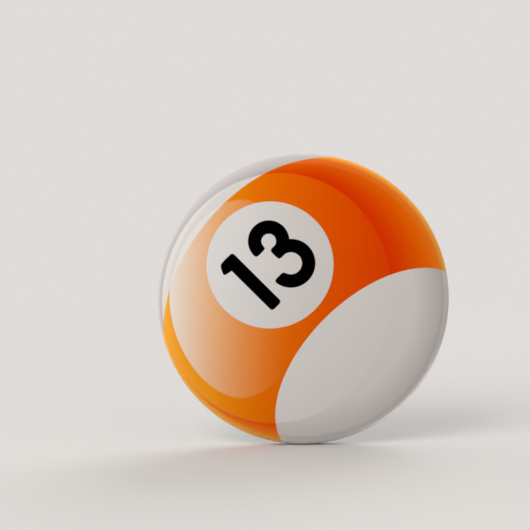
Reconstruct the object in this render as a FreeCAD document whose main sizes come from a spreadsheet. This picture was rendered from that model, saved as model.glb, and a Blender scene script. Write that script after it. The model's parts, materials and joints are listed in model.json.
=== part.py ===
"""A pin-back button badge: a domed steel shell wrapped in printed paper and clear film, crimped
over a steel back plate whose lanced catch holds a swinging wire pin.

The frame is the badge as worn: +Z up, the printed face towards -Y and the pin at the back, +Y.
The origin is the middle of the closed pin wire. The badge's own axis runs along Y below it.
"""

import FreeCAD, Part
import math
import os
import re

import Sketcher

Vector = FreeCAD.Vector

SIZES = {
    # the round body
    "face_radius": 28.575,
    "drop": 8.0,
    "depth": 5.8,
    "rim_y": 1.35,
    "dome_radius": 190.0,
    "shoulder_radius": 2.6,
    "roll_radius": 1.0,
    "land_width": 0.2,
    "lip_radius": 0.55,
    # the three wrapped layers, and how far each reaches in front of the lip
    "film": 0.08,
    "paper": 0.1,
    "steel": 0.25,
    "film_tail": 0.85,
    "paper_tail": 0.75,
    "steel_tail": 0.25,
    # the back plate, from its axis outwards: radii, and heights along Y
    "plate": 0.28,
    "floor_radius": 19.9,
    "floor_y": -2.0,
    "step_radius": 20.4,
    "step_y": -1.35,
    "slope_radius": 25.2,
    "slope_y": 0.15,
    "ledge_radius": 25.9,
    "ledge_y": 0.25,
    "bead_in": 26.15,
    "bead_out": 26.8,
    "bead_y": 0.85,
    "flange_y": -0.45,
    "flange_radius": 27.9,
    "bend_wide": 0.5,
    "bend_tight": 0.34,
    "bend_valley": 0.2,
    # the pin wire
    "wire_radius": 0.45,
    "hinge_x": -13.0,
    "point_x": 15.2,
    "point_length": 4.4,
    "point_flat": 0.05,
    "eye_radius": 1.15,
    "eye_step": 0.94,
    "swing_tilt": 65.0,
    "leg_end_x": -10.0,
    "leg_bend": 0.7,
    "leg_depth": 0.9,
    # the oval dimples pressed round both ends of the pin
    "dimple_depth": 0.35,
    "dimple_width": 4.95,
    "dimple_z": -1.03,
    "catch_dimple_x": 13.95,
    "catch_dimple_length": 6.85,
    "anchor_dimple_x": -12.0,
    "anchor_dimple_length": 7.6,
    # the lanced catch: a U whose two prongs pass over the wire
    "catch_x": 13.24,
    "catch_width": 4.9,
    "prong_width": 1.0,
    "crook_z": -1.05,
    "root_z": -4.2,
    "heel_z": -3.1,
    "neck_z": -1.35,
    "tip_z": 0.85,
    "prong_end_z": 0.47,
    "prong_gap": 0.08,
    "tab_bend": 0.6,
    "slot_margin": 0.12,
    "slot_low_z": -2.95,
    "slot_end_z": 0.5,
    "window_low_z": 0.45,
    "window_high_z": 1.12,
    "window_width": 2.0,
    # the lanced bridge that clamps the pin's fixed leg
    "bridge_x": -10.75,
    "bridge_width": 1.0,
    "bridge_half": 1.25,
    "bridge_foot": 0.5,
    "bridge_top": 0.6,
    "bridge_gap": 0.03,
    "window_margin": 0.15,
    "hole_radius": 0.62,
}

doc = FreeCAD.newDocument("button_badge")
sheet = doc.addObject("Spreadsheet::Sheet", "Sizes")
for row, (alias, number) in enumerate(SIZES.items(), start=1):
    sheet.set(f"A{row}", alias)
    sheet.set(f"B{row}", str(number))
    sheet.setAlias(f"B{row}", alias)
doc.recompute()


def value(expression):
    """The number that an expression on the sheet's sizes comes to."""
    return float(sheet.evalExpression(expression))


def drive(item, setting, expression):
    """Drive one setting of an object from an expression on the sheet's sizes."""
    def in_sheet(word):
        return f"Sizes.{word[0]}" if word[0] in SIZES else word[0]

    item.setExpression(setting, re.sub(r"[a-z_]+", in_sheet, expression))


# The arm points along +X. It leaves the catch along LIFT, which is swing_tilt round from straight
# back (+Y) towards up (+Z), and it turns about AXIS.
tilt = math.radians(value("swing_tilt"))
LIFT = Vector(0, math.cos(tilt), math.sin(tilt))
AXIS = Vector(0, -math.sin(tilt), math.cos(tilt))
FRONT = Vector(0, -1, 0)
SIDE = Vector(1, 0, 0)

# Geometry numbers and point numbers that the Sketcher keeps for a sketch's own origin and axes.
ORIGIN, Y_AXIS = -1, -2
START, END, CENTRE = 1, 2, 3

# Sketch planes: across X has its x along +Z and its y along +Y; across Y has its x along +X and
# its y along +Z. The plain plane, across Z, has its x along +X and its y along +Y.
ACROSS_Z = FreeCAD.Rotation()
ACROSS_X = FreeCAD.Rotation(Vector(0, 0, 1), Vector(0, 1, 0), Vector(-1, 0, 0), "ZXY")
ACROSS_Y = FreeCAD.Rotation(Vector(1, 0, 0), 90)


# ---------------------------------------------------------------- sketches


def new_sketch(name, plane, **base):
    """A sketch on a plane that passes through x, y or z, each an expression."""
    sketch = doc.addObject("Sketcher::SketchObject", name)
    sketch.Placement = FreeCAD.Placement(Vector(), plane)
    for axis, expression in base.items():
        drive(sketch, f"Placement.Base.{axis}", expression)
    return sketch


def line(sketch, first, last):
    return sketch.addGeometry(Part.LineSegment(first, last))


def arc(sketch, centre, radius, start, end):
    """An arc that runs anticlockwise from one angle to another, in degrees."""
    circle = Part.Circle(centre, Vector(0, 0, 1), radius)
    return sketch.addGeometry(Part.ArcOfCircle(circle, math.radians(start), math.radians(end)))


def rule(sketch, kind, *members):
    sketch.addConstraint(Sketcher.Constraint(kind, *members))


def bind(sketch, expression, kind, *members):
    """A sized constraint, driven from the sheet."""
    constraint = Sketcher.Constraint(kind, *members, value(expression))
    index = sketch.addConstraint(constraint)
    drive(sketch, f"Constraints[{index}]", expression)


def fix_point(sketch, geometry, point, x=None, y=None):
    """Hold one point of a sketch at x and y, each an expression."""
    for kind, expression in (("DistanceX", x), ("DistanceY", y)):
        if expression is not None:
            bind(sketch, expression, kind, ORIGIN, START, geometry, point)


def smooth_chain(sketch, pieces):
    """Make each anticlockwise or straight piece run smoothly into the next."""
    for first, second in zip(pieces, pieces[1:]):
        rule(sketch, "Tangent", first, END, second, START)


def wrap_path(name, covers, tail):
    """One wrapped layer's outer line, from the dome's top round the rim to its tail in the crimp.

    covers names the layers outside this one. The corners of every layer share their centres.
    """
    less = "".join(f" - {layer}" for layer in covers)
    dome_radius = value("dome_radius" + less)
    shoulder_radius = value("shoulder_radius" + less)
    roll_radius = value("roll_radius" + less)
    lip_radius = value("lip_radius" + less)
    shoulder_x = value("face_radius - shoulder_radius")
    reach = value("dome_radius - shoulder_radius")
    dome_y = value("rim_y - depth + dome_radius")
    shoulder_y = dome_y - math.sqrt(reach**2 - shoulder_x**2)
    edge = math.degrees(math.asin(shoulder_x / reach)) - 90
    wall_x = value("face_radius" + less)
    roll = Vector(value("face_radius - roll_radius"), value("rim_y - roll_radius"))
    lip = Vector(roll.x - value("land_width"), value("rim_y - lip_radius"))
    land_y = value("rim_y" + less)
    tuck_x = lip.x - lip_radius

    sketch = new_sketch(name, ACROSS_Z, z="-drop")
    dome = arc(sketch, Vector(0, dome_y), dome_radius, -90, edge)
    shoulder = arc(sketch, Vector(shoulder_x, shoulder_y), shoulder_radius, edge, 0)
    wall = line(sketch, Vector(wall_x, shoulder_y), Vector(wall_x, roll.y))
    back = arc(sketch, roll, roll_radius, 0, 90)
    land = line(sketch, Vector(roll.x, land_y), Vector(lip.x, land_y))
    turn = arc(sketch, lip, lip_radius, 90, 180)
    tuck = line(sketch, Vector(tuck_x, lip.y), Vector(tuck_x, lip.y - value(tail)))
    smooth_chain(sketch, [dome, shoulder, wall, back, land, turn, tuck])
    rule(sketch, "PointOnObject", dome, CENTRE, Y_AXIS)
    rule(sketch, "PointOnObject", dome, START, Y_AXIS)
    rule(sketch, "Vertical", wall)
    rule(sketch, "Horizontal", land)
    rule(sketch, "Vertical", tuck)
    bind(sketch, "dome_radius" + less, "Radius", dome)
    bind(sketch, "shoulder_radius" + less, "Radius", shoulder)
    bind(sketch, "roll_radius" + less, "Radius", back)
    bind(sketch, "lip_radius" + less, "Radius", turn)
    fix_point(sketch, dome, START, y="rim_y - depth" + less.replace("-", "+"))
    fix_point(sketch, wall, START, x="face_radius" + less)
    fix_point(sketch, land, START, y="rim_y" + less)
    bind(sketch, "land_width", "DistanceX", land, END, land, START)
    bind(sketch, tail, "DistanceY", tuck, END, tuck, START)
    return sketch


def bent_path(name, plane, corners, bends, **base):
    """A line through corners, each rounded by its own bend radius, as sheet metal is folded."""
    sketch = new_sketch(name, plane, **base)
    points = [Vector(value(x), value(y)) for x, y in corners]
    heads = [(after - before).normalize() for before, after in zip(points, points[1:])]
    setbacks = [
        value(bend) * math.tan(before.getAngle(after) / 2)
        for bend, before, after in zip(bends, heads, heads[1:])
    ]
    starts = [0.0] + setbacks
    ends = setbacks + [0.0]
    lines = [
        line(sketch, before + head * start, after - head * end)
        for before, after, head, start, end in zip(points, points[1:], heads, starts, ends)
    ]
    for i, bend in enumerate(bends):
        before, after, point = heads[i], heads[i + 1], points[i + 1]
        left = before.cross(after).z > 0
        inward = Vector(-before.y, before.x) * (value(bend) if left else -value(bend))
        centre = point - before * setbacks[i] + inward
        angles = [
            math.degrees(math.atan2(end.y - centre.y, end.x - centre.x))
            for end in (point - before * setbacks[i], point + after * setbacks[i])
        ]
        turn = arc(sketch, centre, value(bend), *(angles if left else reversed(angles)))
        rule(sketch, "Tangent", lines[i], END, turn, START if left else END)
        rule(sketch, "Tangent", turn, END if left else START, lines[i + 1], START)
        bind(sketch, bend, "Radius", turn)
        corner = sketch.addGeometry(Part.Point(point), True)
        rule(sketch, "PointOnObject", corner, START, lines[i])
        rule(sketch, "PointOnObject", corner, START, lines[i + 1])
        fix_point(sketch, corner, START, *corners[i + 1])
    fix_point(sketch, lines[0], START, *corners[0])
    fix_point(sketch, lines[-1], END, *corners[-1])
    return sketch


def slot_outline(name, x, z, length, width, y):
    """An oval: two half-circles joined by straight sides, centred at x and z in the plane at y."""
    sketch = new_sketch(name, ACROSS_Y, x=x, y=y, z=z)
    radius = value(f"({width}) / 2")
    reach = value(f"({length} - ({width})) / 2")
    top = line(sketch, Vector(reach, radius), Vector(-reach, radius))
    left = arc(sketch, Vector(-reach, 0), radius, 90, 270)
    low = line(sketch, Vector(-reach, -radius), Vector(reach, -radius))
    right = arc(sketch, Vector(reach, 0), radius, -90, 90)
    smooth_chain(sketch, [top, left, low, right, top])
    rule(sketch, "Horizontal", top)
    rule(sketch, "Horizontal", low)
    bind(sketch, f"({width}) / 2", "Radius", right)
    fix_point(sketch, right, CENTRE, x=f"({length} - ({width})) / 2", y="0")
    fix_point(sketch, left, CENTRE, x=f"-({length} - ({width})) / 2")
    return sketch


def fork_outline(name, y, end_z, grow="0"):
    """The catch seen from behind: a U whose two prongs have round ends, grown on every side."""
    sketch = new_sketch(name, ACROSS_Y, x="catch_x", y=y)
    outer_x = f"(catch_width / 2 + {grow})"
    inner_x = f"(catch_width / 2 - prong_width - {grow})"
    outer, inner = value(outer_x), value(inner_x)
    crook, end = value("crook_z"), value(end_z)
    middle = (outer + inner) / 2
    prong = (outer - inner) / 2
    right = line(sketch, Vector(outer, crook), Vector(outer, end))
    right_end = arc(sketch, Vector(middle, end), prong, 0, 180)
    right_in = line(sketch, Vector(inner, end), Vector(inner, crook))
    inside = arc(sketch, Vector(0, crook), inner, 180, 360)
    left_in = line(sketch, Vector(-inner, crook), Vector(-inner, end))
    left_end = arc(sketch, Vector(-middle, end), prong, 0, 180)
    left = line(sketch, Vector(-outer, end), Vector(-outer, crook))
    outside = arc(sketch, Vector(0, crook), outer, 180, 360)
    smooth_chain(sketch, [left_in, left_end, left, outside, right, right_end, right_in])
    rule(sketch, "Tangent", right_in, END, inside, END)
    rule(sketch, "Tangent", inside, START, left_in, START)
    uprights = (
        (right, outer_x), (right_in, inner_x), (left_in, f"-{inner_x}"), (left, f"-{outer_x}"),
    )
    for upright, x in uprights:
        rule(sketch, "Vertical", upright)
        fix_point(sketch, upright, START, x=x)
    rounds = ((inside, "crook_z"), (outside, "crook_z"), (right_end, end_z), (left_end, end_z))
    for round_piece, height in rounds:
        fix_point(sketch, round_piece, CENTRE, y=height)
    return sketch


# ---------------------------------------------------------------- solids


def band(name, path, thickness):
    """A strip of even thickness along a path. A positive thickness lies on the path's right in the
    plane across Z, and on its left in the plane across X, which faces the other way."""
    strip = doc.addObject("Part::Offset2D", name)
    strip.Source = path
    strip.Mode = "Skin"
    strip.Fill = True
    drive(strip, "Value", thickness)
    return strip


def turned(name, profile):
    """A profile turned once round the badge's axis."""
    solid = doc.addObject("Part::Revolution", name)
    solid.Source = profile
    solid.Axis = Vector(0, 1, 0)
    drive(solid, "Base.z", "-drop")
    solid.Angle = 360
    return solid


def pushed(name, profile, direction, length, both=False):
    """A profile pushed along a direction, or half as far each way."""
    solid = doc.addObject("Part::Extrusion", name)
    solid.Base = profile
    solid.DirMode = "Custom"
    solid.Dir = direction
    solid.Solid = True
    solid.Symmetric = both
    drive(solid, "LengthFwd", length)
    return solid


def block(name, x, y, z, length, width, height):
    """A box with its lowest corner at x, y, z."""
    solid = doc.addObject("Part::Box", name)
    for axis, expression in (("x", x), ("y", y), ("z", z)):
        drive(solid, f"Placement.Base.{axis}", expression)
    for side, expression in (("Length", length), ("Width", width), ("Height", height)):
        drive(solid, side, expression)
    return solid


def combined(kind, name, base, tool):
    """One boolean of two solids: Part::Cut, Part::Fuse or Part::Common."""
    result = doc.addObject(kind, name)
    result.Base = base
    result.Tool = tool
    return result


def wire_along(name, edges):
    """Round wire bent along a path of straight runs and tangent arcs."""
    path = Part.Wire(edges)
    start = edges[0].valueAt(edges[0].FirstParameter)
    head = edges[0].tangentAt(edges[0].FirstParameter)
    section = Part.Wire(Part.makeCircle(value("wire_radius"), start, head))
    shape = path.makePipeShell([section], True, False)
    expected = math.pi * value("wire_radius") ** 2 * path.Length
    if abs(shape.Volume - expected) > expected * 0.01:
        raise RuntimeError(f"{name}: the wire's volume is {shape.Volume}, not {expected}")
    return shape


def free_form(name, shape):
    """A sub-part that is bent wire, whose shape no primitive gives."""
    feature = doc.addObject("Part::Feature", name)
    feature.Shape = shape
    return feature


# ---------------------------------------------------------------- the wrapped front


def front_shell():
    path = wrap_path("ShellPath", ["film", "paper"], "steel_tail")
    return turned("FrontShell", band("ShellBand", path, "-steel"))


def printed_disc():
    path = wrap_path("PaperPath", ["film"], "paper_tail")
    return turned("PrintedDisc", band("PaperBand", path, "-paper"))


def clear_film():
    path = wrap_path("FilmPath", [], "film_tail")
    return turned("ClearFilm", band("FilmBand", path, "-film"))


# ---------------------------------------------------------------- the back plate

DIMPLE_Y = "floor_y - dimple_depth"
LEG_LIFT = "eye_step * cos(swing_tilt) - 2 * eye_radius * sin(swing_tilt)"
LEG_BACK = "-eye_step * sin(swing_tilt) - 2 * eye_radius * cos(swing_tilt)"


def pressed_disc():
    """The plate as it leaves the press: sunk floor, sloping ring, ledge, bead and flange."""
    corners = [
        ("0", "floor_y"),
        ("floor_radius", "floor_y"),
        ("step_radius", "step_y"),
        ("slope_radius", "slope_y"),
        ("ledge_radius", "ledge_y"),
        ("bead_in", "bead_y"),
        ("bead_out", "bead_y"),
        ("bead_out", "flange_y"),
        ("flange_radius", "flange_y"),
    ]
    bends = ["bend_wide", "bend_wide", "bend_wide", "bend_valley"] + ["bend_tight"] * 3
    path = bent_path("PlatePath", ACROSS_Z, corners, bends, z="-drop")
    return turned("PressedDisc", band("PlateBand", path, "plate"))


def with_dimple(plate, name, x, length):
    """Press an oval dimple towards the front: a swelling in front, then a hollow behind."""
    swelling = pushed(
        f"{name}Swelling",
        slot_outline(
            f"{name}Outer", x, "dimple_z", f"{length} + 2 * plate", "dimple_width + 2 * plate",
            "floor_y - plate / 2",
        ),
        FRONT,
        "dimple_depth + plate / 2",
    )
    hollow = pushed(
        f"{name}Hollow",
        slot_outline(f"{name}Inner", x, "dimple_z", length, "dimple_width", "floor_y + plate"),
        FRONT,
        "dimple_depth + plate",
    )
    swollen = combined("Part::Fuse", f"{name}Fused", plate, swelling)
    return combined("Part::Cut", f"{name}Pressed", swollen, hollow)


def catch_fork():
    """The lanced tab: up from its root, then over the closed wire along the way that it leaves."""
    over = "(wire_radius + prong_gap + plate) / sin(swing_tilt)"
    rise = "cos(swing_tilt) / sin(swing_tilt)"
    corners = [
        ("root_z", DIMPLE_Y),
        ("heel_z", DIMPLE_Y),
        ("neck_z", f"{over} + neck_z * {rise}"),
        ("tip_z", f"{over} + tip_z * {rise}"),
    ]
    path = bent_path("CatchPath", ACROSS_X, corners, ["tab_bend"] * 2, x="catch_x")
    tab = pushed("CatchTab", band("CatchBand", path, "-plate"), SIDE, "catch_width", both=True)
    outline = pushed("CatchPlan", fork_outline("CatchOutline", "rim_y", "prong_end_z"), FRONT, "depth")
    return combined("Part::Common", "CatchFork", tab, outline)


def anchor_bridge():
    """The lanced strap that passes over the wire's fixed leg and holds it down."""
    top = f"{LEG_BACK} + wire_radius + bridge_gap + plate"
    corners = [
        (f"{LEG_LIFT} - bridge_half - bridge_foot", DIMPLE_Y),
        (f"{LEG_LIFT} - bridge_half", DIMPLE_Y),
        (f"{LEG_LIFT} - bridge_top", top),
        (f"{LEG_LIFT} + bridge_top", top),
        (f"{LEG_LIFT} + bridge_half", DIMPLE_Y),
        (f"{LEG_LIFT} + bridge_half + bridge_foot", DIMPLE_Y),
    ]
    path = bent_path("BridgePath", ACROSS_X, corners, ["bend_tight"] * 4, x="bridge_x")
    return pushed("BridgeStrap", band("BridgeBand", path, "-plate"), SIDE, "bridge_width", both=True)


def back_plate():
    plate = pressed_disc()
    plate = with_dimple(plate, "CatchDimple", "catch_dimple_x", "catch_dimple_length")
    plate = with_dimple(plate, "AnchorDimple", "anchor_dimple_x", "anchor_dimple_length")
    through = ("floor_y - 4 * plate", "6 * plate")
    fork_slot = combined(
        "Part::Common",
        "ForkSlot",
        pushed("SlotPlan", fork_outline("SlotOutline", "floor_y + 2 * plate", "slot_end_z", "slot_margin"),
               FRONT, through[1]),
        block("SlotReach", "catch_x - catch_width", through[0], "slot_low_z",
              "2 * catch_width", through[1], "depth"),
    )
    catch_window = block(
        "CatchWindow",
        "catch_x - window_width / 2", through[0], "window_low_z",
        "window_width", through[1], "window_high_z - window_low_z",
    )
    bridge_window = block(
        "BridgeWindow",
        "bridge_x - bridge_width / 2 - window_margin", through[0], f"{LEG_LIFT} - bridge_half",
        "bridge_width + 2 * window_margin", through[1], "2 * bridge_half",
    )
    hole = doc.addObject("Part::Cylinder", "LegHole")
    hole.Placement.Rotation = FreeCAD.Rotation(Vector(1, 0, 0), -90)
    drive(hole, "Radius", "hole_radius")
    drive(hole, "Height", through[1])
    drive(hole, "Placement.Base.x", "leg_end_x + leg_bend")
    drive(hole, "Placement.Base.y", through[0])
    drive(hole, "Placement.Base.z", LEG_LIFT)
    for tool in (fork_slot, catch_window, bridge_window, hole):
        plate = combined("Part::Cut", f"{tool.Name}Cut", plate, tool)
    for name, tab in (("WithCatch", catch_fork()), ("WithBridge", anchor_bridge())):
        plate = combined("Part::Fuse", name, plate, tab)
    return plate


# ---------------------------------------------------------------- the pin


def eye_arc(centre, start, end):
    """Part of a turn of the pin's coil, from SIDE towards LIFT, by angles in degrees."""
    def at(angle):
        turn = math.radians(angle)
        return centre + (SIDE * math.cos(turn) + LIFT * math.sin(turn)) * value("eye_radius")

    return Part.Arc(at(start), at((start + end) / 2), at(end)).toShape()


def pin_arm():
    """The swinging arm: its open eye on the hinge's axis, its straight run, and its ground point."""
    root = Vector(value("hinge_x"), 0, 0)
    eye = root - LIFT * value("eye_radius")
    taper_start = Vector(value("point_x - point_length"), 0, 0)
    edges = [Part.makeLine(taper_start, root), eye_arc(eye, 90, 360)]
    wire = wire_along("pin_arm", edges)
    point = Part.makeCone(
        value("wire_radius"), value("point_flat"), value("point_length"), taper_start, SIDE
    )
    return free_form("PinArm", wire.fuse(point))


def pin_coil():
    """The fixed end: the coil's other turn, the leg under the bridge, and its end through the hole."""
    root = Vector(value("hinge_x"), 0, 0)
    eye = root - LIFT * value("eye_radius") + AXIS * value("eye_step")
    foot = eye - LIFT * value("eye_radius")
    leg_end = Vector(value("leg_end_x"), foot.y, foot.z)
    bend = value("leg_bend")
    middle = leg_end + FRONT * bend + (SIDE - FRONT) * (bend * math.sqrt(0.5))
    turned_down = leg_end + (SIDE + FRONT) * bend
    edges = [
        eye_arc(eye, 0, 270),
        Part.makeLine(foot, leg_end),
        Part.Arc(leg_end, middle, turned_down).toShape(),
        Part.makeLine(turned_down, turned_down + FRONT * value("leg_depth")),
    ]
    return free_form("PinCoil", wire_along("pin_coil", edges))


# ---------------------------------------------------------------- the whole badge

SUB_PARTS = (front_shell, printed_disc, clear_film, back_plate, pin_arm, pin_coil)

solids = {}
for make in SUB_PARTS:
    solids[make.__name__] = make()
    solids[make.__name__].Label = make.__name__
doc.recompute()

for item in doc.Objects:
    if "Invalid" in item.State or "Error" in item.State:
        raise RuntimeError(f"{item.Name} is {item.State}")
for name, solid in solids.items():
    shape = solid.Shape
    if shape.isNull() or not shape.isValid() or len(shape.Solids) != 1:
        raise RuntimeError(f"{name} isn't one valid solid")

os.makedirs("parts", exist_ok=True)
for name, solid in solids.items():
    solid.Shape.exportStep(f"parts/{name}.step")
    box = solid.Shape.BoundBox
    print(f"{name}: {solid.Shape.Volume:.2f} mm3, {box}")
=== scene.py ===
"""A round pin-back button badge, printed with a striped pool ball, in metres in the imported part's frame."""
import json
import math

import bmesh
import bpy
import numpy as np
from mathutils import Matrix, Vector


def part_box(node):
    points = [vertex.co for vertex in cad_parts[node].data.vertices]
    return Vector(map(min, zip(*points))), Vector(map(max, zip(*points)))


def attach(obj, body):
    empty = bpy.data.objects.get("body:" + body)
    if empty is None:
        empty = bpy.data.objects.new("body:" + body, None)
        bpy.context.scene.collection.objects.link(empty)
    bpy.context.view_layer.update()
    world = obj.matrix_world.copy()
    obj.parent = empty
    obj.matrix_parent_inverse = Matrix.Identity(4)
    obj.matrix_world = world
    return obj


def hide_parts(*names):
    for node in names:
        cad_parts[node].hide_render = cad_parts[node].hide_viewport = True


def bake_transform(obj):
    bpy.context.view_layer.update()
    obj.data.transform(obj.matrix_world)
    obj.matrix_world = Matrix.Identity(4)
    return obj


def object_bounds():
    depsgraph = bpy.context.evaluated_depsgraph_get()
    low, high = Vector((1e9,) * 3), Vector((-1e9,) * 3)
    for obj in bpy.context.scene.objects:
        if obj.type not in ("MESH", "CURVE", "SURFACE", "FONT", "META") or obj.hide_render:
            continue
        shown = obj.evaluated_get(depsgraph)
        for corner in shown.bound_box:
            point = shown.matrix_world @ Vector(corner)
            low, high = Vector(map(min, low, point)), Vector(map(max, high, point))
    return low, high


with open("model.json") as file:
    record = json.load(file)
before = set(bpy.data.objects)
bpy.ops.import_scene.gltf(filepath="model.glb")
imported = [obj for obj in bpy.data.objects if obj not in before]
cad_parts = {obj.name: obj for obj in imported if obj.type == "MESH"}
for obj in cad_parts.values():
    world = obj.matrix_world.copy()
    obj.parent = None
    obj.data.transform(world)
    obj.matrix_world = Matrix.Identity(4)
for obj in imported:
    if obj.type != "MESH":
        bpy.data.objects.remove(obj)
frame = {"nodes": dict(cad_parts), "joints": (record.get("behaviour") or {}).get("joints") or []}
CAD_LOW, CAD_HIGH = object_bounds()

MM = 0.001
FILM_LOW, FILM_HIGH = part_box("clear_film")
AXIS_Z = (FILM_LOW.z + FILM_HIGH.z) / 2
APEX_Y = FILM_LOW.y
RIM_Y = FILM_HIGH.y

# The wrapped face's section, as the CAD part draws it.
FACE_RADIUS = 28.575 * MM
DOME_RADIUS = 190 * MM
SHOULDER_RADIUS = 2.6 * MM
ROLL_RADIUS = 1.0 * MM
LIP_RADIUS = 0.55 * MM
LAND_WIDTH = 0.2 * MM
TAIL_LENGTH = 0.85 * MM
FACE_THICKNESS = 0.15 * MM

# The back plate: its thickness, the radius at which its finely turned rim starts, and the section
# of that rim's back face in millimetres, as corners (radius, y, bend radius) and a last point.
PLATE_THICKNESS = 0.28 * MM
PLATE_JOIN_RADIUS = 19.3 * MM
PLATE_CORNERS = [
    (19.9, -2.0, 0.5), (20.4, -1.35, 0.5), (25.2, 0.15, 0.5), (25.9, 0.25, 0.2),
    (26.15, 0.85, 0.34), (26.8, 0.85, 0.34), (26.8, -0.45, 0.34),
]
PLATE_END = (27.9, -0.45)
SHARP_ANGLE = math.radians(35)
LEVEL, NEARLY_LEVEL = 0.99999, 0.9

# The pin's wire: a point, an arm, an eye of one and a half turns round the hinge, and a bent leg.
HINGE = Vector(frame["joints"][0]["pos_m"])
HINGE_AXIS = Vector(frame["joints"][0]["axis"]).normalized()
WIRE_RADIUS = 0.45 * MM
EYE_RADIUS = 1.15 * MM
EYE_STEP = 0.94 * MM
POINT_LENGTH = 4.4 * MM
POINT_FLAT = 0.05 * MM
LEG_BEND_RADIUS = 0.7 * MM
LEG_X = -9.3 * MM
EYE_TURN = 540
SIDE = Vector((1, 0, 0))
LIFT = SIDE.cross(HINGE_AXIS)
LIFT = LIFT if LIFT.z > 0 else -LIFT


# ---------------------------------------------------------------- meshes

def around(segments):
    """Evenly spaced angles round the badge."""
    return np.linspace(0, 2 * math.pi, segments, endpoint=False)


def arc(centre, radius, start, end, count):
    """Points on an arc in the (radius, y) half plane; angles in degrees from straight outwards."""
    angles = np.radians(np.linspace(start, end, count))
    return [(centre[0] + radius * math.cos(a), centre[1] + radius * math.sin(a)) for a in angles]


def wrapped_section(inset):
    """The wrapped face's section from its middle to its hidden edge, moved inwards by inset, and how
    far, from 0 to 1, the film is gathered at each of its points."""
    dome_y = APEX_Y + DOME_RADIUS
    shoulder_r = FACE_RADIUS - SHOULDER_RADIUS
    shoulder_y = dome_y - math.sqrt((DOME_RADIUS - SHOULDER_RADIUS) ** 2 - shoulder_r ** 2)
    turn = math.degrees(math.atan2(shoulder_y - dome_y, shoulder_r))
    roll = (FACE_RADIUS - ROLL_RADIUS, RIM_Y - ROLL_RADIUS)
    lip = (FACE_RADIUS - ROLL_RADIUS - LAND_WIDTH, RIM_Y - LIP_RADIUS)
    points = arc((0, dome_y), DOME_RADIUS - inset, -90, turn, 16)
    points += arc((shoulder_r, shoulder_y), SHOULDER_RADIUS - inset, turn, 0, 14)[1:]
    gathered = [0.0] * len(points)
    points += arc(roll, ROLL_RADIUS - inset, 0, 90, 10)
    gathered += list(0.35 * np.linspace(0, 1, 10) ** 3)
    points += arc(lip, LIP_RADIUS - inset, 90, 180, 9)
    gathered += list(np.linspace(0.35, 1.0, 9))
    inner = points[-1][0]
    points += [(inner, lip[1] - TAIL_LENGTH * share) for share in (0.3, 0.65, 1.0)]
    gathered += [1.0] * 3
    points[0] = (0.0, points[0][1])
    return points, gathered


def pleats(angle):
    """How deep, from 0 to 1, the gathered film is folded at each angle round the badge."""
    wander = 1.7 * np.sin(7 * angle + 0.6) + 1.1 * np.sin(17 * angle + 2.0) + 0.8 * np.sin(31 * angle + 4.1)
    fold = 0.5 + 0.5 * np.sin(118 * angle + wander)
    uneven = 0.55 + 0.3 * np.sin(5 * angle + 1.0) + 0.15 * np.sin(23 * angle + 0.3)
    return fold ** 2 * uneven


def wrapped_face(name, segments=960, pleat_depth=0.09 * MM):
    """The printed paper under its film: one thin closed shell, pleated where it is gathered behind."""
    outer, gathered = wrapped_section(0.0)
    inner = wrapped_section(FACE_THICKNESS)[0]
    section = np.array(outer + inner[::-1])
    gathered = np.array(gathered + gathered[::-1])
    tangent = np.gradient(np.array(outer), axis=0)
    normal = np.stack([tangent[:, 1], -tangent[:, 0]], 1)
    normal /= np.linalg.norm(normal, axis=1)[:, None]
    normal = np.concatenate([normal, normal[::-1]])
    angle = around(segments)
    depth = pleats(angle) * pleat_depth
    verts, rings = [], []
    for (r, y), (nr, ny), weight in zip(section, normal, gathered):
        start = len(verts)
        if r == 0:
            verts.append((0.0, y, AXIS_Z))
            rings.append([start] * segments)
            continue
        rr = r - nr * weight * depth
        yy = y - ny * weight * depth
        verts += list(zip(rr * np.cos(angle), yy, AXIS_Z + rr * np.sin(angle)))
        rings.append(list(range(start, start + segments)))
    faces = []
    for a, b in zip(rings, rings[1:]):
        for j in range(segments):
            k = (j + 1) % segments
            faces.append(tuple(dict.fromkeys((a[j], a[k], b[k], b[j]))))
    return new_mesh(name, verts, faces)


def bent_strip(corners, thickness, steps=8):
    """A bent strip's outline: back face through corners (r, y, bend radius), round to its front."""
    points = [Vector(c[:2]) for c in corners]
    back = [(points[0], (points[1] - points[0]).normalized())]
    for before, here, after, corner in zip(points, points[1:], points[2:], corners[1:]):
        into, out = (here - before).normalized(), (after - here).normalized()
        turn = math.atan2(into.x * out.y - into.y * out.x, into.dot(out))
        side = math.copysign(1.0, turn)
        start = here - into * corner[2] * math.tan(abs(turn) / 2)
        centre = start + Vector((-into.y, into.x)) * corner[2] * side
        for step in range(steps + 1):
            cos, sin = math.cos(turn * step / steps), math.sin(turn * step / steps)
            heading = Vector((into.x * cos - into.y * sin, into.x * sin + into.y * cos))
            back.append((centre - Vector((-heading.y, heading.x)) * corner[2] * side, heading))
    back.append((points[-1], (points[-1] - points[-2]).normalized()))
    front = [p + Vector((h.y, -h.x)) * thickness for p, h in reversed(back)]
    return [tuple(p) for p, h in back] + [tuple(p) for p in front]


def turned_strip(name, section, segments):
    """An open section of (radius, y) points turned about the badge's axis."""
    verts = [(r * math.cos(a), y, AXIS_Z + r * math.sin(a)) for r, y in section for a in around(segments)]
    faces = []
    for i in range(len(section) - 1):
        a, b = i * segments, (i + 1) * segments
        faces += [(a + j, a + (j + 1) % segments, b + (j + 1) % segments, b + j) for j in range(segments)]
    return new_mesh(name, verts, faces)


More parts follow.
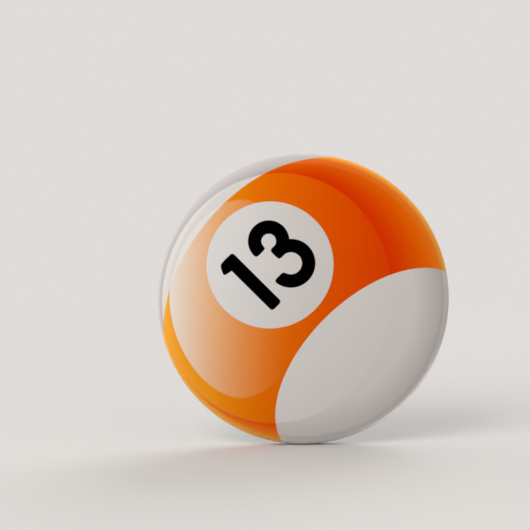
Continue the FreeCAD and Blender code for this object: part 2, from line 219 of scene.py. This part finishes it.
def round_block(name, radius, depth, segments):
    """A round block about the badge's axis, from -depth to depth."""
    verts = [(radius * math.cos(a), y, AXIS_Z + radius * math.sin(a))
             for y in (-depth, depth) for a in around(segments)]
    sides = [(j, (j + 1) % segments, segments + (j + 1) % segments, segments + j) for j in range(segments)]
    return new_mesh(name, verts, sides + [tuple(range(segments))[::-1], tuple(range(segments, 2 * segments))])


def with_modifier(item, kind, **settings):
    """Adds a modifier to item and keeps its result as item's mesh."""
    change = item.modifiers.new("change", kind)
    for key, value in settings.items():
        setattr(change, key, value)
    result = bpy.data.meshes.new_from_object(item.evaluated_get(bpy.context.evaluated_depsgraph_get()))
    item.modifiers.clear()
    item.data = result


def welded(work):
    """Welds doubled corners and points every face outwards."""
    bmesh.ops.remove_doubles(work, verts=work.verts, dist=0.0005 * MM)
    bmesh.ops.recalc_face_normals(work, faces=work.faces)


def level_flats(mesh):
    """Gives faces square to the badge's axis, and the bends that leave them, level normals."""
    normals = [tuple(corner.vector) for corner in mesh.corner_normals]
    level = {}
    for face in mesh.polygons:
        if abs(face.normal.y) > LEVEL:
            for v in face.vertices:
                level[v] = math.copysign(1.0, face.normal.y)
    for face in mesh.polygons:
        for corner, v in zip(face.loop_indices, face.vertices):
            if v in level and face.normal.y * level[v] > NEARLY_LEVEL:
                normals[corner] = (0.0, level[v], 0.0)
    mesh.normals_split_custom_set(normals)


def plate_middle(name, segments):
    """The CAD plate's lanced and dimpled middle, cut round at the join, as an object."""
    middle = bpy.data.objects.new(name, frame["nodes"]["back_plate"].data.copy())
    bpy.context.scene.collection.objects.link(middle)
    work = bmesh.new()
    work.from_mesh(middle.data)
    welded(work)
    work.to_mesh(middle.data)
    work.free()
    block = round_block("plate_block", PLATE_JOIN_RADIUS, 9 * MM, segments)
    with_modifier(middle, "BOOLEAN", operation="INTERSECT", solver="EXACT", object=block)
    bpy.data.objects.remove(block)
    return middle


def open_at_join(work, segments):
    """Merges level faces, removes the cut's wall, and moves the cut's corners onto the rim's own."""
    bmesh.ops.remove_doubles(work, verts=work.verts, dist=0.0002 * MM)
    bmesh.ops.dissolve_limit(work, angle_limit=0.0004, verts=work.verts, edges=work.edges)
    edge = PLATE_JOIN_RADIUS - 0.01 * MM
    wall = [f for f in work.faces if abs(f.normal.y) < 0.5
            and all(math.hypot(v.co.x, v.co.z - AXIS_Z) > edge for v in f.verts)]
    bmesh.ops.delete(work, geom=wall, context="FACES")
    for v in work.verts:
        if v.is_boundary:
            turn = round(math.atan2(v.co.z - AXIS_Z, v.co.x) * segments / (2 * math.pi))
            turn *= 2 * math.pi / segments
            v.co.x = PLATE_JOIN_RADIUS * math.cos(turn)
            v.co.z = AXIS_Z + PLATE_JOIN_RADIUS * math.sin(turn)


def pressed_plate(name, segments=480):
    """The back plate: the CAD's middle welded into a finely turned rim of the same section."""
    plate = plate_middle(name, segments)
    corners = [(r * MM, y * MM, bend * MM) for r, y, bend in PLATE_CORNERS]
    start = (PLATE_JOIN_RADIUS, corners[0][1], 0.0)
    end = (PLATE_END[0] * MM, PLATE_END[1] * MM, 0.0)
    section = bent_strip([start, *corners, end], PLATE_THICKNESS)
    rim = turned_strip("plate_rim", section, segments)
    work = bmesh.new()
    work.from_mesh(plate.data)
    open_at_join(work, segments)
    work.from_mesh(rim.data)
    welded(work)
    work.to_mesh(plate.data)
    work.free()
    bpy.data.objects.remove(rim)
    plate.data.polygons.foreach_set("use_smooth", [True] * len(plate.data.polygons))
    plate.data.set_sharp_from_angle(angle=SHARP_ANGLE)
    with_modifier(plate, "WEIGHTED_NORMAL", keep_sharp=True)
    plate.data.materials.clear()
    level_flats(plate.data)
    return plate


def new_mesh(name, verts, faces):
    """A smooth-shaded mesh object in the scene."""
    mesh = bpy.data.meshes.new(name)
    mesh.from_pydata([tuple(v) for v in verts], [], faces)
    mesh.polygons.foreach_set("use_smooth", [True] * len(mesh.polygons))
    mesh.update()
    made = bpy.data.objects.new(name, mesh)
    bpy.context.scene.collection.objects.link(made)
    return made


def pin_path():
    """The wire's centre line from its point to the end of its leg, and its radius at each place."""
    arm = HINGE + LIFT * EYE_RADIUS
    tip_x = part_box("pin_arm")[1].x
    foot_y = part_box("pin_coil")[0].y
    path, radii = [], []
    for share in np.linspace(0, 1, 30):
        path.append(Vector((tip_x - POINT_LENGTH * share, arm.y, arm.z)))
        radii.append(POINT_FLAT + (WIRE_RADIUS - POINT_FLAT) * math.sin(share * math.pi / 2) ** 0.8)
    shank_x = tip_x - POINT_LENGTH
    for share in np.linspace(0, 1, 60)[1:-1]:
        path.append(Vector((shank_x + (arm.x - shank_x) * share, arm.y, arm.z)))
    for turn in np.linspace(0, EYE_TURN, 121):
        a = math.radians(turn + 90)
        along = EYE_STEP * min(1.0, max(0.0, (turn - 60) / 360))
        ring = (SIDE * math.cos(a) + LIFT * math.sin(a)) * EYE_RADIUS
        path.append(HINGE + ring + HINGE_AXIS * along)
    leg = path[-1].copy()
    bend_x = LEG_X - LEG_BEND_RADIUS
    for share in np.linspace(0, 1, 10)[1:-1]:
        path.append(leg + SIDE * ((bend_x - leg.x) * share))
    for a in np.linspace(0, math.pi / 2, 12):
        bend = Vector((math.sin(a), math.cos(a) - 1, 0)) * LEG_BEND_RADIUS
        path.append(Vector((bend_x, leg.y, leg.z)) + bend)
    last = path[-1]
    for share in np.linspace(0, 1, 6)[1:]:
        path.append(Vector((last.x, last.y + (foot_y - last.y) * share, last.z)))
    return path, radii + [WIRE_RADIUS] * (len(path) - len(radii))


def tube(name, path, radii, sides=28):
    """A round wire along path, closed at both ends."""
    tangents = [(b - a).normalized() for a, b in zip([path[0]] + path[:-1], path[1:] + [path[-1]])]
    verts, rings = [], []
    normal = Vector((0, 0, 1))
    for point, tangent, radius in zip(path, tangents, radii):
        normal = (normal - tangent * normal.dot(tangent)).normalized()
        across = tangent.cross(normal)
        start = len(verts)
        for k in range(sides):
            a = 2 * math.pi * k / sides
            verts.append(point + (normal * math.cos(a) + across * math.sin(a)) * radius)
        rings.append(range(start, start + sides))
    faces = []
    for a, b in zip(rings, rings[1:]):
        for k in range(sides):
            n = (k + 1) % sides
            faces.append((a[k], b[k], b[n], a[n]))
    for ring, point in ((rings[0], path[0]), (rings[-1][::-1], path[-1])):
        faces += [(len(verts), ring[k], ring[(k + 1) % sides]) for k in range(sides)]
        verts.append(point)
    return new_mesh(name, verts, faces)


# ---------------------------------------------------------------- node arithmetic

class Value:
    """A number that varies over a surface; ordinary arithmetic on it adds Math nodes."""

    def __init__(self, tree, socket):
        self.tree, self.socket = tree, socket

    def math(self, operation, *others, clamp=False):
        """One Math node, fed with this value and the others."""
        node = self.tree.nodes.new("ShaderNodeMath")
        node.operation, node.use_clamp = operation, clamp
        for socket, x in zip(node.inputs, (self, *others)):
            if isinstance(x, Value):
                self.tree.links.new(x.socket, socket)
            else:
                socket.default_value = x
        return Value(self.tree, node.outputs[0])

    def __add__(self, other):
        return self.math("ADD", other)

    def __sub__(self, other):
        return self.math("SUBTRACT", other)

    def __rsub__(self, other):
        return self.math("MULTIPLY", -1.0) + other

    def __mul__(self, other):
        return self.math("MULTIPLY", other)

    def __truediv__(self, other):
        return self.math("DIVIDE", other)

    def __pow__(self, other):
        return self.math("POWER", other)

    def __abs__(self):
        return self.math("ABSOLUTE")

    __radd__, __rmul__ = __add__, __mul__

    def clamped(self):
        """Held between 0 and 1."""
        return self.math("ADD", 0.0, clamp=True)

    def lower(self, other, blend=0.0):
        """The lower of two, with the corner between them rounded by blend."""
        return self.math("SMOOTH_MIN", other, blend) if blend else self.math("MINIMUM", other)

    def upper(self, other, blend=0.0):
        """The higher of two, with the corner between them rounded by blend."""
        return self.math("SMOOTH_MAX", other, blend) if blend else self.math("MAXIMUM", other)

    def rise(self, start, end):
        """0 at start, 1 at end, clamped and smooth between."""
        node = self.tree.nodes.new("ShaderNodeMapRange")
        node.interpolation_type = "SMOOTHSTEP"
        self.tree.links.new(self.socket, node.inputs["Value"])
        node.inputs["From Min"].default_value, node.inputs["From Max"].default_value = start, end
        return Value(self.tree, node.outputs["Result"])

    def ramp(self, start, end):
        """0 at start, 1 at end, clamped and straight between."""
        return ((self - start) / (end - start)).clamped()


def hypot(a, b):
    """The length of a right triangle's long side."""
    return (a * a + b * b) ** 0.5


def filled(distance, softness=0.004):
    """1 where a signed distance is inside, 0 outside, over a narrow soft edge."""
    return (0.5 - distance / softness).clamped()


def mix(tree, share, under, over):
    """Two colours mixed; each is a socket or a display colour out of 255."""
    node = tree.nodes.new("ShaderNodeMix")
    node.data_type = "RGBA"
    tree.links.new(share.socket, node.inputs[0])
    for socket, colour in ((node.inputs[6], under), (node.inputs[7], over)):
        if isinstance(colour, bpy.types.NodeSocket):
            tree.links.new(colour, socket)
        else:
            socket.default_value = (*[c / 255 for c in colour], 1.0)
    return node.outputs[2]


def ramp_colour(tree, value, stops):
    """A colour read off a row of (place, display colour) stops."""
    node = tree.nodes.new("ShaderNodeValToRGB")
    tree.links.new(value.socket, node.inputs[0])
    elements = node.color_ramp.elements
    while len(elements) < len(stops):
        elements.new(0.5)
    for element, (place, colour) in zip(elements, stops):
        element.position = place
        element.color = (*[c / 255 for c in colour], 1.0)
    return node.outputs[0]


def new_material(name):
    """A material with one Principled shader; returns it with its tree and shader."""
    made = bpy.data.materials.new(name)
    made.use_nodes = True
    tree = made.node_tree
    return made, tree, tree.nodes["Principled BSDF"]


def places(tree):
    """Object coordinates as three Values."""
    coords = tree.nodes.new("ShaderNodeTexCoord")
    split = tree.nodes.new("ShaderNodeSeparateXYZ")
    tree.links.new(coords.outputs["Object"], split.inputs[0])
    return [Value(tree, s) for s in split.outputs]


def combined(tree, x, y, z):
    """Three Values as one vector socket."""
    node = tree.nodes.new("ShaderNodeCombineXYZ")
    for value, socket in zip((x, y, z), node.inputs):
        tree.links.new(value.socket, socket)
    return node.outputs[0]


def noise(tree, vector, scale, detail=2.0, rough=0.5):
    """Cloudy noise over a vector."""
    node = tree.nodes.new("ShaderNodeTexNoise")
    tree.links.new(vector, node.inputs["Vector"])
    node.inputs["Scale"].default_value = scale
    node.inputs["Detail"].default_value = detail
    node.inputs["Roughness"].default_value = rough
    return Value(tree, node.outputs["Fac"])


def fine_noise(tree, x, y, z, *settings):
    """Noise whose scale counts in waves per millimetre."""
    return noise(tree, combined(tree, x * 1000, y * 1000, z * 1000), *settings)


def base_colour(tree, shader, colour):
    """Sets a socket of display colour as a shader's base colour."""
    gamma = tree.nodes.new("ShaderNodeGamma")
    gamma.inputs["Gamma"].default_value = 2.2
    tree.links.new(colour, gamma.inputs[0])
    tree.links.new(gamma.outputs[0], shader.inputs["Base Color"])


def bump(tree, shader, height, distance, strength, socket="Normal", under=None):
    """Fine relief on a shader, on top of the normal socket under where there is one."""
    node = tree.nodes.new("ShaderNodeBump")
    if under:
        tree.links.new(under, node.inputs["Normal"])
    tree.links.new(height.socket, node.inputs["Height"])
    node.inputs["Distance"].default_value = distance
    node.inputs["Strength"].default_value = strength
    tree.links.new(node.outputs[0], shader.inputs[socket])


# ---------------------------------------------------------------- the printed drawing

# Every length here is a share of the face's radius, measured from its middle, right and up. The
# numerals' own lengths are shares of the white disc's radius.
NUMBER_DISC = (-0.2315, 0.237)
NUMBER_DISC_RADIUS = 0.4356
NUMERAL_TILT = 45
STROKE_HALF, STROKE_CORNER, STROKE_JOIN = 0.104, 0.085, 0.01
# The drawing is laid out as it is seen from ahead, so it moves a little where the dome stands out.
DOME_GROWTH, DOME_SHIFT_U, DOME_SHIFT_V = 0.014, 0.0145, 0.0165
GLOSS_CURVE = 1.8


def turned(u, v, centre, degrees):
    """Coordinates about a centre on axes turned by degrees."""
    c, s = math.cos(math.radians(degrees)), math.sin(math.radians(degrees))
    x, y = u - centre[0], v - centre[1]
    return x * c + y * s, y * c - x * s


def half_plane(a, b, start, end):
    """The signed distance to the left of the line from start to end."""
    dx, dy = end[0] - start[0], end[1] - start[1]
    length = math.hypot(dx, dy)
    return a * (dy / length) - b * (dx / length) + (start[1] * dx - start[0] * dy) / length


def numeral_one(a, b):
    """The 1: a straight bar with a short flag at its head."""
    middle, foot, head = -0.384, -0.535, 0.561
    bar = (abs(a - middle) - STROKE_HALF).upper(
        abs(b - (head + foot) / 2) - (head - foot) / 2, STROKE_CORNER)
    shoulder, beak, chin = (-0.553, head), (-0.636, 0.395), (-0.46, 0.36)
    flag = half_plane(a, b, shoulder, beak).upper(half_plane(a, b, beak, chin), STROKE_CORNER)
    flag = flag.upper(b - head, STROKE_CORNER).upper(a - middle)
    return bar.lower(flag, STROKE_JOIN)


def numeral_three(a, b):
    """The 3: two open rings and the short arm between them."""
    middle, arm_start, arm_end, arm_height = 0.2515, 0.16, 0.3015, 0.0635
    top_height, top_radius, top_cut = 0.283, 0.2205, 0.235
    low_height, low_radius, low_cut = -0.2135, 0.279, -0.222
    upper = abs(hypot(a - middle, b - top_height) - top_radius) - STROKE_HALF
    upper = upper.upper((middle - a).lower(top_cut - b), STROKE_CORNER)
    lower = abs(hypot(a - middle, b - low_height) - low_radius) - STROKE_HALF
    lower = lower.upper((middle - a).lower(b - low_cut), STROKE_CORNER)
    arm = (abs(b - arm_height) - STROKE_HALF).upper(arm_start - a, STROKE_CORNER).upper(a - arm_end)
    return upper.lower(lower).lower(arm, STROKE_JOIN)


def ball_drawing(tree):
    """The colour of the printed ball at each place of the face, as a socket of display colour."""
    x, y, z = places(tree)
    raised = (y / APEX_Y).clamped()
    u = x / FACE_RADIUS * (1.0 + raised * DOME_GROWTH) + raised * DOME_SHIFT_U
    v = (z - AXIS_Z) / FACE_RADIUS * (1.0 + raised * DOME_GROWTH) - raised * DOME_SHIFT_V
    reach = hypot(u, v)

    # The lit inner part of the ball, and how far a place lies between it and the outline.
    a, b = turned(u, v, (-0.183, 0.006), -9)
    lit = hypot(a / 0.787, b / 0.862)
    beyond = (lit - 1.0).upper(0.0)
    outward = beyond / (beyond + (1.004 - reach).upper(0.004))
    inside = filled(lit - 1.0, 0.012)

    # The shape of the drawn gloss, an oval a little squarer than an ellipse.
    a, b = abs(u + 0.430) / 0.491, abs(v - 0.004) / 0.683
    gloss_shape = filled(((a ** GLOSS_CURVE + b ** GLOSS_CURVE) ** (1 / GLOSS_CURVE) - 1.0) * 0.5, 0.006)

    # The stripe, between two edges that bulge towards the upper left.
    s, t = turned(u, v, (0, 0), 45)
    s2 = s * s
    high_edge = 0.852 + s * 0.033 - s2 * 0.327 - s2 * s * 0.035 - s2 * s2 * 0.176
    a, b = turned(u, v, (0.483, -0.4536), 44.1)
    low_edge = hypot(a / 0.8307, b / 0.4673)
    stripe = filled((t - high_edge) / (1.0 + s2 * 0.35), 0.006)
    stripe = stripe * (1 - filled((low_edge - 1.0) * 0.5, 0.005))

    # The stripe runs from red in the middle and right to gold at the left and the outline.
    warmth_inside = 0.40 - u * 0.52 + (u * u) * 0.12
    dusk = (0.10 - u * 0.70).upper(0.0)
    warmth_outside = dusk + (outward ** 1.25) * (0.66 - dusk * 0.35)
    warmth_outside = warmth_outside + reach.rise(0.95, 0.995) * 0.27
    warmth = (warmth_inside - gloss_shape * (u * -0.34).upper(0.0)) * inside + warmth_outside * (1 - inside)
    orange = ramp_colour(tree, warmth, [
        (0.00, (211, 52, 0)), (0.14, (212, 64, 0)), (0.36, (219, 86, 4)),
        (0.58, (224, 110, 10)), (0.80, (236, 146, 30)), (1.00, (246, 164, 50))])

    # The white is greyest round the lower right: painted shade where the shoulder turns from the light, with
    # a thin painted highlight at its very edge for the shoulder's sheen.
    tone_inside = 0.77 - u * 0.12
    upper_tone = 0.35 + outward * 0.14
    # Painted shade darkens the lower right towards the outline; the last term is the painted highlight line.
    lower_tone = 0.68 - reach.ramp(0.76, 0.955) * (u * 0.20 + 0.21) + reach.rise(0.958, 0.982) * 0.34
    upper = t.ramp(-0.1, 0.1)
    tone_outside = upper_tone * upper + lower_tone * (1 - upper)
    tone = tone_inside * inside + tone_outside * (1 - inside)
    white = ramp_colour(tree, tone, [
        (0.0, (150, 144, 141)), (0.25, (172, 165, 162)), (0.5, (190, 183, 180)),
        (0.7, (203, 198, 194)), (1.0, (226, 223, 219))])

    disc = filled(hypot(u - NUMBER_DISC[0], v - NUMBER_DISC[1]) - NUMBER_DISC_RADIUS)
    colour = mix(tree, stripe, white, orange)

    # The gloss is strong at its left edge and nearly gone before the middle.
    gloss = (((-0.10 - u) / 0.82).upper(0.0) ** 1.35) * 0.86 + (0.12 - u).ramp(0.0, 0.45) * 0.09
    gloss = gloss.lower(1.0) * gloss_shape
    colour = mix(tree, gloss, colour, (231, 226, 222))

    pale = ramp_colour(tree, 0.50 - u * 0.70, [
        (0.0, (196, 187, 185)), (0.5, (203, 197, 193)), (1.0, (219, 217, 214))])
    colour = mix(tree, disc, colour, pale)

    a, b = turned(u, v, NUMBER_DISC, NUMERAL_TILT)
    a, b = a / NUMBER_DISC_RADIUS, b / NUMBER_DISC_RADIUS
    figures = numeral_one(a, b).lower(numeral_three(a, b))
    colour = mix(tree, filled(figures, 0.012), colour, (4, 4, 4))

    # Behind the face's widest line the print ends in plain white.
    wrapped = ((y - (RIM_Y - 1.75 * MM)) / (0.12 * MM) + 0.5).clamped()
    return mix(tree, wrapped, colour, (232, 231, 229)), x, y, z


def face_material():
    """Printed paper under glossy clear film."""
    made, tree, shader = new_material("printed_paper_under_film")
    colour, x, y, z = ball_drawing(tree)
    radius = hypot(x, z - AXIS_Z)

    # Painted shade: grey flecks where the film is gripped and creased by the crimp, standing in for the shade
    # in its folds.
    crease = fine_noise(tree, x, z, y * 0.25, 2.6, 3.0, 0.6)
    gripped = (27.2 * MM - radius).ramp(0.0, 0.3 * MM) * (y - (RIM_Y - 1.2 * MM)).ramp(0.0, 0.4 * MM)
    crease_shade = crease.ramp(0.54, 0.62) * gripped
    colour = mix(tree, crease_shade * 0.6, colour, (150, 150, 152))

    base_colour(tree, shader, colour)
    shader.inputs["Roughness"].default_value = 0.6
    shader.inputs["Specular IOR Level"].default_value = 0.0
    shader.inputs["Coat Weight"].default_value = 0.7
    shader.inputs["Coat Roughness"].default_value = 0.04
    shader.inputs["Coat IOR"].default_value = 1.42
    peel = fine_noise(tree, x, y, z, 0.9)
    bump(tree, shader, peel, 0.01 * MM, 0.2, "Coat Normal")
    return made


# ---------------------------------------------------------------- metals

def rounded_edges(tree, share):
    """A normal socket with sharp edges softened, in full where share is 1 and not at all at 0."""
    rounded = tree.nodes.new("ShaderNodeBevel")
    rounded.samples = 6
    rounded.inputs["Radius"].default_value = 0.11 * MM
    plain = tree.nodes.new("ShaderNodeNewGeometry")
    blend = tree.nodes.new("ShaderNodeMix")
    blend.data_type = "VECTOR"
    tree.links.new(share.socket, blend.inputs[0])
    tree.links.new(plain.outputs["Normal"], blend.inputs[4])
    tree.links.new(rounded.outputs[0], blend.inputs[5])
    return blend.outputs[1]


def steel(name, tint, roughness, floor_shade_tint=None):
    """Bright tinplate with a fine upright grain. Given a floor colour, its sunk floor is rougher and painted
    darker, a painted shade for the dark that the recess mirrors, and the catch and the bridge on it have soft
    edges."""
    made, tree, shader = new_material(name)
    x, y, z = places(tree)
    grain = fine_noise(tree, x * 5.5, y, z * 0.16, 1.0, 4.0, 0.65)
    cloud = fine_noise(tree, x, y, z, 0.22)
    dull = (grain - 0.5) * 0.16 + (cloud - 0.5) * 0.10
    rough = roughness + dull * 0.6
    colour = mix(tree, (grain * 0.6 + cloud * 0.4).ramp(0.3, 0.7), [c * 0.93 for c in tint], tint)
    under = None
    if floor_shade_tint:
        radius = hypot(x, z - AXIS_Z)
        floor = 1 - radius.ramp(19.7 * MM, 20.25 * MM)
        floor = floor * (1 - (y + 1.2 * MM).ramp(0.0, 0.3 * MM))
        # Painted shade: the sunk floor gets a darker colour, standing in for the dark surroundings it
        # mirrors.
        dark = mix(tree, grain.ramp(0.25, 0.75), [c * 0.82 for c in floor_shade_tint], floor_shade_tint)
        colour = mix(tree, floor, colour, dark)
        rough = rough + floor * (0.20 + dull)
        under = rounded_edges(tree, 1 - radius.ramp(18.6 * MM, 18.9 * MM))
    base_colour(tree, shader, colour)
    tree.links.new(rough.socket, shader.inputs["Roughness"])
    shader.inputs["Metallic"].default_value = 1.0
    bump(tree, shader, grain, 0.006 * MM, 0.35, under=under)
    return made


# ---------------------------------------------------------------- the pieces

face = wrapped_face("printed_face")
face.data.materials.append(face_material())
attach(face, "badge")
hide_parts("printed_disc", "clear_film")

shell = frame["nodes"]["front_shell"]
shell.data.materials.clear()
shell.data.materials.append(steel("shell_tinplate", (226, 227, 228), 0.24))

plate = pressed_plate("back_plate_sheet")
# The last colour is the sunk floor's painted shade.
plate.data.materials.append(steel("back_tinplate", (228, 229, 231), 0.17, (176, 177, 180)))
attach(plate, "badge")
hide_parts("back_plate")

pin = tube("pin_wire", *pin_path())
pin.data.materials.append(steel("pin_wire_steel", (222, 223, 225), 0.13))
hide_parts("pin_arm", "pin_coil")
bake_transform(pin)


# ---------------------------------------------------------------- the studio

STUDIO_PALE = (0.737, 0.715, 0.693)
NEAR_FLOOR_SHARE = 0.76
FLOOR_HALF = 3.0
FADE_START, FADE_END = 0.06, 0.30

# The camera: angles round and above the badge in degrees, the badge's share of the picture's
# width, and how far the badge's middle lies right of and below the picture's, in half pictures.
LENS, SENSOR = 100.0, 36.0
AZIMUTH, ELEVATION = math.radians(-3), math.radians(4)
FACE_SHARE, RIGHT, DOWN = 0.5495, 0.1475, 0.1309


def floor_sheet():
    """A wide pale floor under the badge's edge, which fades into the backdrop's own colour."""
    corners = [(x * FLOOR_HALF, y * FLOOR_HALF, CAD_LOW.z) for x, y in ((-1, -1), (1, -1), (1, 1), (-1, 1))]
    floor = new_mesh("studio_floor", corners, [(0, 1, 2, 3)])
    made, tree, shader = new_material("studio_paper")
    x, y, z = places(tree)
    near = [c * NEAR_FLOOR_SHARE for c in STUDIO_PALE]
    shader.inputs["Base Color"].default_value = (*near, 1.0)
    shader.inputs["Roughness"].default_value = 0.9
    shader.inputs["Specular IOR Level"].default_value = 0.0
    bump(tree, shader, fine_noise(tree, x, y, z, 0.8, 3.0), 0.05 * MM, 0.3)
    far = tree.nodes.new("ShaderNodeEmission")
    far.inputs["Color"].default_value = (*STUDIO_PALE, 1.0)
    fade = tree.nodes.new("ShaderNodeMixShader")
    tree.links.new(hypot(x, y).rise(FADE_START, FADE_END).socket, fade.inputs[0])
    tree.links.new(shader.outputs[0], fade.inputs[1])
    tree.links.new(far.outputs[0], fade.inputs[2])
    tree.links.new(fade.outputs[0], tree.nodes["Material Output"].inputs[0])
    floor.data.materials.append(made)
    floor.visible_glossy = False


def studio_world():
    """Soft light from all round, dimmer straight ahead of the badge and straight behind it, with a
    few dark and light windows for the steel to mirror. A camera sees the plain backdrop instead."""
    world = bpy.data.worlds.new("studio")
    bpy.context.scene.world = world
    world.use_nodes = True
    tree = world.node_tree
    coords = tree.nodes.new("ShaderNodeTexCoord")
    split = tree.nodes.new("ShaderNodeSeparateXYZ")
    tree.links.new(coords.outputs["Generated"], split.inputs[0])
    x, y, z = [Value(tree, s) for s in split.outputs]

    def patch(direction, outer, inner):
        """1 within inner degrees of a direction, 0 beyond outer degrees."""
        dx, dy, dz = Vector(direction).normalized()
        nearness = x * dx + y * dy + z * dz
        return nearness.rise(math.cos(math.radians(outer)), math.cos(math.radians(inner)))

    level = 0.62 - x * 0.16 + z * 0.18
    for direction, outer, inner, dimming in (
            ((0, -1, 0), 34, 22, 0.98), ((0, 1, 0), 29, 17, 0.72), ((0, 0.82, -0.57), 17, 5, 0.75),
            ((-0.30, 0.82, 0.5), 24, 8, 0.45), ((0.62, 0.78, -0.1), 14, 6, 0.6)):
        level = level * (1 - patch(direction, outer, inner) * dimming)
    strength = level * (1 + y.rise(0.3, 0.75) * 0.55)
    for direction, outer, inner, light in (
            ((0.42, 0.8, -0.42), 9, 6, 0.7), ((-0.75, 0.6, 0.0), 32, 20, 0.6),
            ((0.65, 0.45, -0.62), 22, 10, 2.5)):
        strength = strength + patch(direction, outer, inner) * light
    background = tree.nodes["Background"]
    tree.links.new(strength.socket, background.inputs["Strength"])
    tint = tree.nodes.new("ShaderNodeMix")
    tint.data_type = "RGBA"
    tree.links.new(patch((0, 0.82, -0.57), 22, 8).socket, tint.inputs[0])
    tint.inputs[6].default_value = (1.0, 0.995, 0.985, 1.0)
    tint.inputs[7].default_value = (0.66, 0.78, 1.0, 1.0)
    tree.links.new(tint.outputs[2], background.inputs["Color"])
    seen = tree.nodes.new("ShaderNodeBackground")
    seen.inputs["Color"].default_value = (*STUDIO_PALE, 1.0)
    path = tree.nodes.new("ShaderNodeLightPath")
    choose = tree.nodes.new("ShaderNodeMixShader")
    tree.links.new(path.outputs["Is Camera Ray"], choose.inputs[0])
    tree.links.new(background.outputs[0], choose.inputs[1])
    tree.links.new(seen.outputs[0], choose.inputs[2])
    tree.links.new(choose.outputs[0], tree.nodes["World Output"].inputs[0])


def soft_light(name, place, size, watts):
    """A round lamp aimed at the badge's middle, which the steel and the film don't mirror."""
    lamp = bpy.data.lights.new(name, "AREA")
    lamp.shape, lamp.size, lamp.energy = "DISK", size, watts
    made = bpy.data.objects.new(name, lamp)
    made.location = place
    made.rotation_mode = "QUATERNION"
    made.rotation_quaternion = (Vector((0, 0, AXIS_Z)) - Vector(place)).to_track_quat("-Z", "Y")
    made.visible_glossy = False
    bpy.context.scene.collection.objects.link(made)


def photo_camera():
    """A long lens almost square to the face, a little from its upper left."""
    data = bpy.data.cameras.new("camera")
    data.lens, data.sensor_width = LENS, SENSOR
    data.clip_start, data.clip_end = 0.01, 20.0
    camera = bpy.data.objects.new("camera", data)
    level = math.cos(ELEVATION)
    back = Vector((math.sin(AZIMUTH) * level, -math.cos(AZIMUTH) * level, math.sin(ELEVATION)))
    turn = (-back).to_track_quat("-Z", "Y")
    half = FACE_RADIUS / FACE_SHARE
    side, up = turn @ Vector((1, 0, 0)), turn @ Vector((0, 1, 0))
    aim = Vector((0, 0, AXIS_Z)) - side * half * RIGHT + up * half * DOWN
    camera.rotation_mode = "QUATERNION"
    camera.rotation_quaternion = turn
    camera.location = aim + back * (half / (SENSOR / 2 / LENS))
    bpy.context.scene.collection.objects.link(camera)
    bpy.context.scene.camera = camera


floor_sheet()
studio_world()
soft_light("key", (-0.35, -0.45, 0.45), 0.5, 3.0)
soft_light("back_fill", (0.30, 0.50, 0.42), 0.6, 2.4)
photo_camera()
bpy.context.scene.view_settings.view_transform = "Standard"
